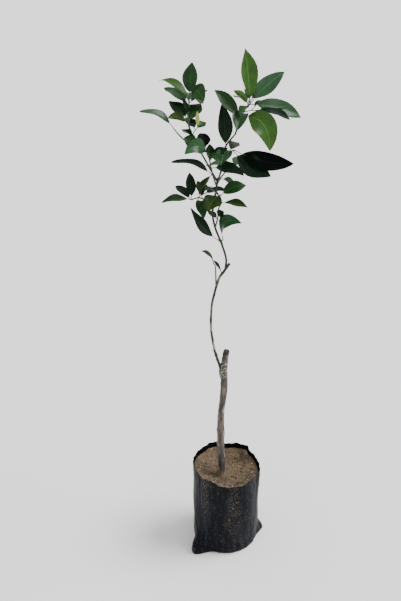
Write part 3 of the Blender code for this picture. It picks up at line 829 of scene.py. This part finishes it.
def soil_place(u, v):
    """Where a corner of the soil's grid goes: over the top, down the side and under."""
    bearing = 360.0 * (u % 1.0)
    reach = soil_reach(bearing)
    if v <= SOIL_TOP_SHARE:
        return soil_surface(bearing, reach * v / SOIL_TOP_SHARE)
    edge = soil_surface(bearing, reach)
    if v <= SOIL_SIDE_SHARE:
        down = (v - SOIL_TOP_SHARE) / (SOIL_SIDE_SHARE - SOIL_TOP_SHARE)
        return Vector((edge.x, edge.y, edge.z + (SOIL_FLOOR - edge.z) * down))
    inwards = (1 - v) / (1 - SOIL_SIDE_SHARE)
    return Vector((edge.x * inwards, edge.y * inwards, SOIL_FLOOR))


def leaf_outline(t):
    """Half width of a blade at t along it, as a share of its greatest half width."""
    return math.sin(math.pi * t**LEAF_FULLNESS) ** LEAF_FULLNESS if 0 < t < 1 else 0.0


def leaf_axes(leaf):
    """The way a leaf points, the upright way that it arches and its right-hand side, rolled."""
    ahead = direction(leaf.bearing, leaf.rise)
    side = ahead.cross(UP).normalized()
    lift = side.cross(ahead)
    side.rotate(Quaternion(ahead, math.radians(leaf.roll)))
    return ahead, lift, side


def midline(leaf, foot, u):
    """The place at u along a leaf's stalk and midrib, arched off the straight way to its tip."""
    ahead, lift, _ = leaf_axes(leaf)
    return foot + leaf.reach * (u * ahead + 4 * u * (1 - u) * leaf.arch * lift)


def leaf_template():
    """A flat slab that each blade is bent from: x runs along it, y across it and z through it."""
    deselect()
    bpy.ops.mesh.primitive_grid_add(x_subdivisions=LEAF_ROWS, y_subdivisions=LEAF_COLUMNS, size=2.0)
    blade = bpy.context.active_object
    blade.name = "leaf_template"
    slab = blade.modifiers.new("Slab", "SOLIDIFY")
    slab.thickness = 1.0
    slab.offset = 0.0
    bpy.ops.object.modifier_apply(modifier=slab.name)
    upper = blade.data.attributes.new("upper", "FLOAT", "POINT")
    for vert, side in zip(blade.data.vertices, upper.data):
        side.value = 1.0 if vert.co.z > 0 else 0.0
    return blade


def grow_leaf(template, leaf, foot, settings, chance):
    """A copy of the template, bent, folded and waved into one leaf."""
    ahead, lift, side = leaf_axes(leaf)
    blade = template.copy()
    blade.data = template.data.copy()
    bpy.context.scene.collection.objects.link(blade)
    fold = math.radians(leaf.fold)
    phase = chance.uniform(0.0, math.tau)
    for vert in blade.data.vertices:
        t = (1 - math.cos(math.pi * (vert.co.x + 1) / 2)) / 2
        u = STALK_SHARE + (1 - STALK_SHARE) * t
        half = max(leaf.width / 2 * leaf_outline(t), LEAF_POINT)
        tangent = (ahead + 4 * (1 - 2 * u) * leaf.arch * lift).normalized()
        right = (side - side.dot(tangent) * tangent).normalized()
        out = right.cross(tangent)
        across = vert.co.y * half * math.cos(fold)
        raised = (math.hypot(vert.co.y, FOLD_SOFTNESS) - FOLD_SOFTNESS) * half * math.sin(fold)
        ripple = math.sin(LEAF_WAVES * t + phase + vert.co.y)
        wave = settings.waviness * leaf.width * vert.co.y**2 * ripple
        thick = settings.thickness * math.copysign(0.5, vert.co.z)
        vert.co = midline(leaf, foot, u) + across * right + (raised + wave + thick) * out
    return blade


def ruled_sprigs(rule):
    """The far side's seeded twigs, drawn just as the solids draw them."""
    if rule is None:
        return []
    chance = random.Random(rule.seed)
    low, high = SPRIG_ZONE
    sprigs = []
    for index in range(rule.count):
        at = low + (high - low) * (index + 0.5) / rule.count
        bearing = rule.bearing + SPRIG_TURN * index + chance.uniform(*SPRIG_SWING)
        rise = chance.uniform(*SPRIG_RISE)
        leaves = [
            Leaf(
                share,
                bearing + swing + chance.uniform(*SEEDED_SWING),
                rise + chance.uniform(*SEEDED_DROOP),
                chance.uniform(*SEEDED_REACH),
                chance.uniform(*SEEDED_WIDTH),
                chance.uniform(*SEEDED_ROLL),
                chance.uniform(*SEEDED_ARCH),
                SEEDED_FOLD,
                tone,
            )
            for (share, swing), tone in zip(SPRIG_LEAVES, SEEDED_TONES)
        ]
        sprigs.append(Sprig(at, bearing, rise, chance.uniform(*SPRIG_LENGTH), leaves))
    return sprigs


def twig_lines(mass):
    """The mass's stem and side twigs: pairs of a line and the leaves along it."""
    stem = smooth_line(mass.points, TWIG_STEPS)
    lines = [(stem, mass.leaves)]
    for sprig in (*mass.sprigs, *ruled_sprigs(mass.rule)):
        foot = place_on(stem, sprig.at)
        tip = foot + sprig.length * direction(sprig.bearing, sprig.rise)
        middle = foot.lerp(tip, 0.5) + SPRIG_BOW * UP
        lines.append((smooth_line((foot, middle, tip), TWIG_STEPS), sprig.leaves))
    return lines


def colour_property(name, what, default):
    text = f"Colour of {what}"
    return FloatVectorProperty(
        name=name, description=text, subtype="COLOR", size=3, min=0.0, max=1.0, default=default
    )


def length_property(name, description, default):
    return FloatProperty(name=name, description=description, default=default, unit="LENGTH", precision=5)


class BagSettings(bpy.types.PropertyGroup):
    colour: colour_property("Colour", "the clean film", (0.0016, 0.0024, 0.0050))
    haze: colour_property("Haze", "the film's grey haze and scuffs", (0.018, 0.022, 0.030))
    dust: colour_property("Dust", "the soil dust on the film", (0.20, 0.15, 0.10))
    thickness: length_property("Thickness", "Thickness of the film", 0.0006)
    wrinkle: length_property("Wrinkle", "Depth of the film's small folds", 0.0022)


class SoilSettings(bpy.types.PropertyGroup):
    colour: colour_property("Colour", "the dry soil", (0.125, 0.085, 0.048))
    dark: colour_property("Dark", "the damp crumbs", (0.024, 0.016, 0.010))
    pale: colour_property("Pale", "the pale specks", (0.36, 0.29, 0.20))
    crumbs: IntProperty(name="Crumbs", description="Number of loose crumbs", default=260, min=0)
    crumb_size: length_property("Crumb size", "Radius of the largest crumb", 0.0028)


class WoodSettings(bpy.types.PropertyGroup):
    bark: colour_property("Bark", "the rootstock's bark", (0.120, 0.098, 0.078))
    bark_dark: colour_property("Dark bark", "the bark's dark grain", (0.032, 0.030, 0.034))
    bark_pale: colour_property("Pale bark", "the bark's pale patches", (0.40, 0.33, 0.24))
    # Painted shade: a darker colour laid round the graft to stand for the shade there
    graft: colour_property("Graft", "the darker bark round the graft", (0.030, 0.026, 0.024))
    tape: colour_property("Tape", "the grafting tape's remains", (0.34, 0.36, 0.22))
    stub: colour_property("Stub", "the cut stub", (0.020, 0.015, 0.012))
    splash: colour_property("Splash", "the soil splashed on the trunk", (0.30, 0.22, 0.14))
    stem: colour_property("Stem", "the grafted stem", (0.022, 0.026, 0.016))
    stem_dark: colour_property("Dark stem", "the stem's dark patches", (0.010, 0.014, 0.010))
    stem_pale: colour_property("Pale stem", "the stem's pale patches", (0.24, 0.22, 0.15))
    twig: colour_property("Twig", "the green twigs and stalks", (0.028, 0.060, 0.014))
    twig_dark: colour_property("Dark twig", "the twigs' dark patches", (0.012, 0.016, 0.010))


class LeafSettings(bpy.types.PropertyGroup):
    thickness: length_property("Thickness", "Thickness of a blade", 0.0005)
    waviness: FloatProperty(
        name="Waviness", description="Height of the edge's waves, as a share of the width", default=0.05
    )
    thorn: length_property("Thorn", "Length of a thorn at a leaf's foot", 0.007)


class StageSettings(bpy.types.PropertyGroup):
    floor: colour_property("Floor", "the plain floor", (0.95, 0.95, 0.945))
    sun: FloatProperty(name="Key light", description="Strength of the soft key light", default=3.6)
    sky: FloatProperty(name="Fill light", description="Strength of the even light", default=0.95)


class TREE_OT_bag(bpy.types.Operator):
    """Builds the film bag, with its folded corners, uneven rim, creases and dust"""

    bl_idname = "orange_tree.bag"
    bl_label = "Bag"

    def execute(self, context):
        settings = context.scene.orange_bag
        film = wrapped_grid(
            "bag_film", BAG_COLUMNS, BAG_ROWS, lambda u, v: film_place(u, v, settings.wrinkle)
        )
        wall = film.modifiers.new("Wall", "SOLIDIFY")
        wall.thickness = settings.thickness
        wall.offset = -1.0
        bpy.ops.object.modifier_apply(modifier=wall.name)
        smooth(film, FILM_EDGE)
        finish = Finish("black_film", settings.colour, roughness=0.48, gloss=0.07)
        finish.layer(settings.haze, finish.mottle(FILM_HAZE), share=0.7)
        finish.layer(settings.haze, finish.mottle(FILM_SCRATCHES), share=0.8)
        dusty = finish.times(finish.mottle(FILM_STREAKS), finish.mottle(FILM_SPECKS))
        finish.layer(settings.dust, dusty, share=0.8)
        finish.layer(settings.dust, finish.mottle(FILM_DUST), share=0.35)
        finish.bump(finish.mottle(FILM_PUCKERS), distance=0.0012, strength=0.45)
        wear(film, finish.material, "film", "grow_bag")
        return {"FINISHED"}


class TREE_OT_soil(bpy.types.Operator):
    """Builds the dished, crumbly soil and the loose crumbs on it"""

    bl_idname = "orange_tree.soil"
    bl_label = "Soil"

    def execute(self, context):
        settings = context.scene.orange_soil
        bed = wrapped_grid("soil_bed", SOIL_COLUMNS, SOIL_ROWS, soil_place)
        smooth(bed, ROUGH_EDGE)
        finish = Finish("dry_soil", settings.colour, roughness=0.95)
        finish.layer(settings.dark, finish.mottle(DAMP_SOIL), share=0.75)
        finish.layer(settings.dark, finish.mottle(DARK_SPECKS), share=0.8)
        finish.layer(settings.pale, finish.mottle(PALE_SPECKS))
        finish.bump(finish.mottle(SOIL_GRAIN), distance=0.0015, strength=0.9)
        wear(bed, finish.material, "earth", "soil")
        chance = random.Random(CRUMB_SEED)
        kinds = {"crumbs_dark": settings.dark, "crumbs_pale": settings.pale, "crumbs_tan": settings.colour}
        for first, (name, colour) in enumerate(kinds.items()):
            crumbs = [self.crumb(settings, chance) for _ in range(first, settings.crumbs, len(kinds))]
            piece = join(name, crumbs)
            crumb_finish = Finish(name, colour, roughness=0.95)
            crumb_finish.bump(crumb_finish.mottle(FINE_BUMPS), distance=0.0005)
            wear(piece, crumb_finish.material, "earth")
        return {"FINISHED"}

    def crumb(self, settings, chance):
        """One rough lump, half sunk into the soil."""
        bearing = chance.uniform(0.0, 360.0)
        radius = (BAG_RADIUS - CRUMB_MARGIN) * math.sqrt(chance.uniform(*CRUMB_SPREAD))
        place = soil_surface(bearing, radius)
        size = settings.crumb_size * chance.uniform(*CRUMB_SIZES) ** 2
        deselect()
        bpy.ops.mesh.primitive_ico_sphere_add(subdivisions=1, radius=1.0)
        lump = bpy.context.active_object
        for vert in lump.data.vertices:
            vert.co = place + vert.co * size * chance.uniform(*CRUMB_ROUGHNESS)
        return lump


class TREE_OT_wood(bpy.types.Operator):
    """Builds the rootstock with its graft and cut stub, the grafted stem, the leader and the boughs"""

    bl_idname = "orange_tree.wood"
    bl_label = "Wood"

    def execute(self, context):
        settings = context.scene.orange_wood
        barks = {
            "rootstock": self.rootstock_bark(settings),
            "scion": self.stem_bark("scion_bark", settings, SCION_PATCHES),
            "green": self.stem_bark("leader_bark", settings, LEADER_PATCHES),
        }
        slots = {"rootstock": "rootstock_bark", "scion": "green_bark", "green": "green_bark"}
        for limb in LIMBS:
            line = smooth_line(limb.points, LIMB_STEPS)
            radii = spread_values(limb.radii, LIMB_STEPS)
            piece = tubes(limb.piece, [(line, radii)], LIMB_ROUNDNESS)
            self.add_relief(piece, limb, line)
            smooth(piece, ROUGH_EDGE)
            wear(piece, barks[limb.bark], slots[limb.bark], limb.node)
        return {"FINISHED"}

    def add_relief(self, piece, limb, line):
        """Moves the bark in and out along its grain, and swells it at buds, knots and the graft."""
        places = [(vert.co.copy(), vert.normal.copy()) for vert in piece.data.vertices]
        for vert, (place, normal) in zip(piece.data.vertices, places):
            coarse, fine = (
                noise.noise(Vector((place.x * across, place.y * across, place.z * along)))
                for across, along in (COARSE_GRAIN, FINE_GRAIN)
            )
            swell = limb.relief * (coarse + FINE_GRAIN_SHARE * fine)
            middle = min(line, key=lambda point: (point - place).length_squared)
            bearing = math.degrees(math.atan2(place.y - middle.y, place.x - middle.x))
            for height, at, size, spread in KNOTS:
                near = bell(place.z - height, spread) * bell(apart(bearing, at), KNOT_BEARING_SPREAD)
                swell += size * near
            vert.co = place + swell * normal

    def rootstock_bark(self, settings):
        finish = Finish("rootstock_bark", settings.bark, roughness=0.85)
        finish.layer(settings.bark_dark, finish.mottle(DARK_BARK))
        finish.layer(settings.bark_pale, finish.mottle(PALE_BARK), share=0.8)
        # Painted shade round the graft: the bark there is darkened to stand for shade
        finish.layer(settings.graft, finish.band(*GRAFT_SHADE_BAND), share=0.6)
        patches = finish.times(finish.mottle(TAPE_PATCHES), finish.band(*TAPE_BAND))
        finish.layer(settings.tape, patches, share=0.8)
        finish.layer(settings.stub, finish.band(*STUB_BAND))
        finish.layer(settings.splash, finish.band(*SPLASH_BAND), share=0.6)
        finish.bump(finish.mottle(BARK_GRAIN), distance=0.0010, strength=0.8)
        return finish.material

    def stem_bark(self, name, settings, patches):
        finish = Finish(name, settings.stem, roughness=0.60, gloss=0.3)
        finish.layer(settings.stem_dark, finish.mottle(DARK_STEM))
        finish.layer(settings.stem_pale, finish.mottle(patches))
        finish.bump(finish.mottle(STEM_GRAIN), distance=0.0005)
        return finish.material


class TREE_OT_crown(bpy.types.Operator):
    """Grows the crown's stems, side twigs, leaf stalks, thorns and leaves, dealt out by tone"""

    bl_idname = "orange_tree.crown"
    bl_label = "Crown"

    def execute(self, context):
        settings = context.scene.orange_leaf
        template = leaf_template()
        chance = random.Random(LEAF_SEED)
        strands = []
        leaves = {tone: [] for tone in TONES}
        nodes = {tone: set() for tone in TONES}
        for mass in MASSES:
            for index, (line, dealt) in enumerate(twig_lines(mass)):
                thick = STEM_RADIUS if index == 0 else TWIG_RADIUS
                taper = [thick - TWIG_TAPER * step / (len(line) - 1) for step in range(len(line))]
                strands.append((line, taper))
                for leaf in dealt:
                    foot = place_on(line, leaf.at)
                    strands.append(self.stalk(leaf, foot))
                    if chance.random() < THORN_CHANCE:
                        strands.append(self.thorn(leaf, foot, settings))
                    leaves[leaf.tone].append(grow_leaf(template, leaf, foot, settings, chance))
                    nodes[leaf.tone].add(mass.node)
        bpy.data.objects.remove(template)
        for tone, blades in leaves.items():
            piece = join(f"leaves_{tone}", blades)
            smooth(piece, LEAF_EDGE)
            wear(piece, self.leaf_finish(tone), "leaves", *sorted(nodes[tone]))
        twigs = tubes("crown_twigs", strands, TWIG_ROUNDNESS)
        smooth(twigs, LEAF_EDGE)
        wood = context.scene.orange_wood
        finish = Finish("twig_bark", wood.twig, roughness=0.5)
        finish.layer(wood.twig_dark, finish.mottle(DARK_TWIG))
        finish.bump(finish.mottle(FINE_BUMPS), distance=0.0003)
        wear(twigs, finish.material, "leaves", *[mass.node for mass in MASSES])
        return {"FINISHED"}

    def stalk(self, leaf, foot):
        """A leaf's stalk, from its twig into the blade."""
        end = STALK_SHARE + STALK_SINK
        last = len(STALK_TAPER) - 1
        line = [midline(leaf, foot, end * step / last) for step in range(last + 1)]
        return line, [STALK_RADIUS * share for share in STALK_TAPER]

    def thorn(self, leaf, foot, settings):
        """A short straight thorn beside a leaf's foot."""
        point = direction(leaf.bearing + THORN_SWING, leaf.rise + THORN_LIFT)
        line = [foot, foot + settings.thorn / 2 * point, foot + settings.thorn * point]
        return line, THORN_RADII

    def leaf_finish(self, tone):
        """A glossy leaf: darker patches, paler veins from its UV map and a paler underside."""
        colour, roughness, gloss = TONES[tone]
        finish = Finish(f"leaf_{tone}", colour, roughness, gloss)
        finish.layer(tint(colour, *PATCH_TINT), finish.mottle(LEAF_PATCHES))
        uv = finish.add("ShaderNodeTexCoord")
        veins = finish.add("ShaderNodeGroup")
        veins.node_tree = vein_group()
        finish.link(uv.outputs["UV"], veins.inputs["UV"])
        finish.layer(tint(colour, *VEIN_TINT), veins.outputs["Mask"])
        side = finish.add("ShaderNodeAttribute")
        side.attribute_name = "upper"
        under = finish.add("ShaderNodeMath")
        under.operation = "SUBTRACT"
        under.inputs[0].default_value = 1.0
        finish.link(side.outputs["Fac"], under.inputs[1])
        finish.layer(tint(colour, *UNDERSIDE_TINT), under.outputs[0], share=0.6)
        finish.bump(veins.outputs["Mask"], distance=0.0004, strength=0.5)
        return finish.material


class TREE_OT_stage(bpy.types.Operator):
    """Adds the camera, the plain pale floor and the soft light"""

    bl_idname = "orange_tree.stage"
    bl_label = "Stage"

    def execute(self, context):
        settings = context.scene.orange_stage
        deselect()
        bpy.ops.object.camera_add(location=CAMERA_PLACE, rotation=(math.radians(CAMERA_TILT), 0.0, 0.0))
        camera = context.active_object
        camera.data.sensor_width = CAMERA_SENSOR
        camera.data.lens = FOCAL_PIXELS * CAMERA_SENSOR / PHOTO_HEIGHT
        context.scene.camera = camera
        deselect()
        bpy.ops.mesh.primitive_plane_add(size=FLOOR_SIZE)
        floor = context.active_object
        floor.name = "floor"
        floor.data.materials.append(Finish("pale_floor", settings.floor, roughness=0.9).material)
        bpy.ops.object.light_add(type="SUN")
        sun = context.active_object
        sun.rotation_euler = Vector(SUN_DIRECTION).to_track_quat("Z", "Y").to_euler()
        sun.data.energy = settings.sun
        sun.data.angle = math.radians(SUN_ANGLE)
        world = bpy.data.worlds.new("soft_light")
        world.use_nodes = True
        sky = world.node_tree.nodes["Background"]
        sky.inputs["Strength"].default_value = settings.sky
        sky.inputs["Color"].default_value = (1.0, 1.0, 1.0, 1.0)
        context.scene.world = world
        return {"FINISHED"}


class TREE_PT_panel(bpy.types.Panel):
    """Lists the steps that build the tree"""

    bl_idname = "TREE_PT_panel"
    bl_label = "Potted navel orange tree"
    bl_space_type = "VIEW_3D"
    bl_region_type = "UI"
    bl_category = "Orange tree"

    def draw(self, context):
        for group, _, operator in PARTS:
            settings = getattr(context.scene, group)
            for name in settings.bl_rna.properties.keys():
                if name not in ("rna_type", "name"):
                    self.layout.prop(settings, name)
            self.layout.operator(operator.bl_idname)


# Each group of settings: its name on the scene, its class and the step that uses it
PARTS = (
    ("orange_bag", BagSettings, TREE_OT_bag),
    ("orange_soil", SoilSettings, TREE_OT_soil),
    ("orange_wood", WoodSettings, TREE_OT_wood),
    ("orange_leaf", LeafSettings, TREE_OT_crown),
    ("orange_stage", StageSettings, TREE_OT_stage),
)
CLASSES = (*(cls for part in PARTS for cls in part[1:]), TREE_PT_panel)


def register():
    for cls in CLASSES:
        bpy.utils.register_class(cls)
    for name, group, _ in PARTS:
        setattr(bpy.types.Scene, name, PointerProperty(type=group))


def unregister():
    for name, _, _ in PARTS:
        delattr(bpy.types.Scene, name)
    for cls in reversed(CLASSES):
        bpy.utils.unregister_class(cls)


def main():
    register()
    bpy.ops.orange_tree.bag()
    bpy.ops.orange_tree.soil()
    bpy.ops.orange_tree.wood()
    bpy.ops.orange_tree.crown()
    bpy.ops.orange_tree.stage()


if __name__ == "__main__":
    main()
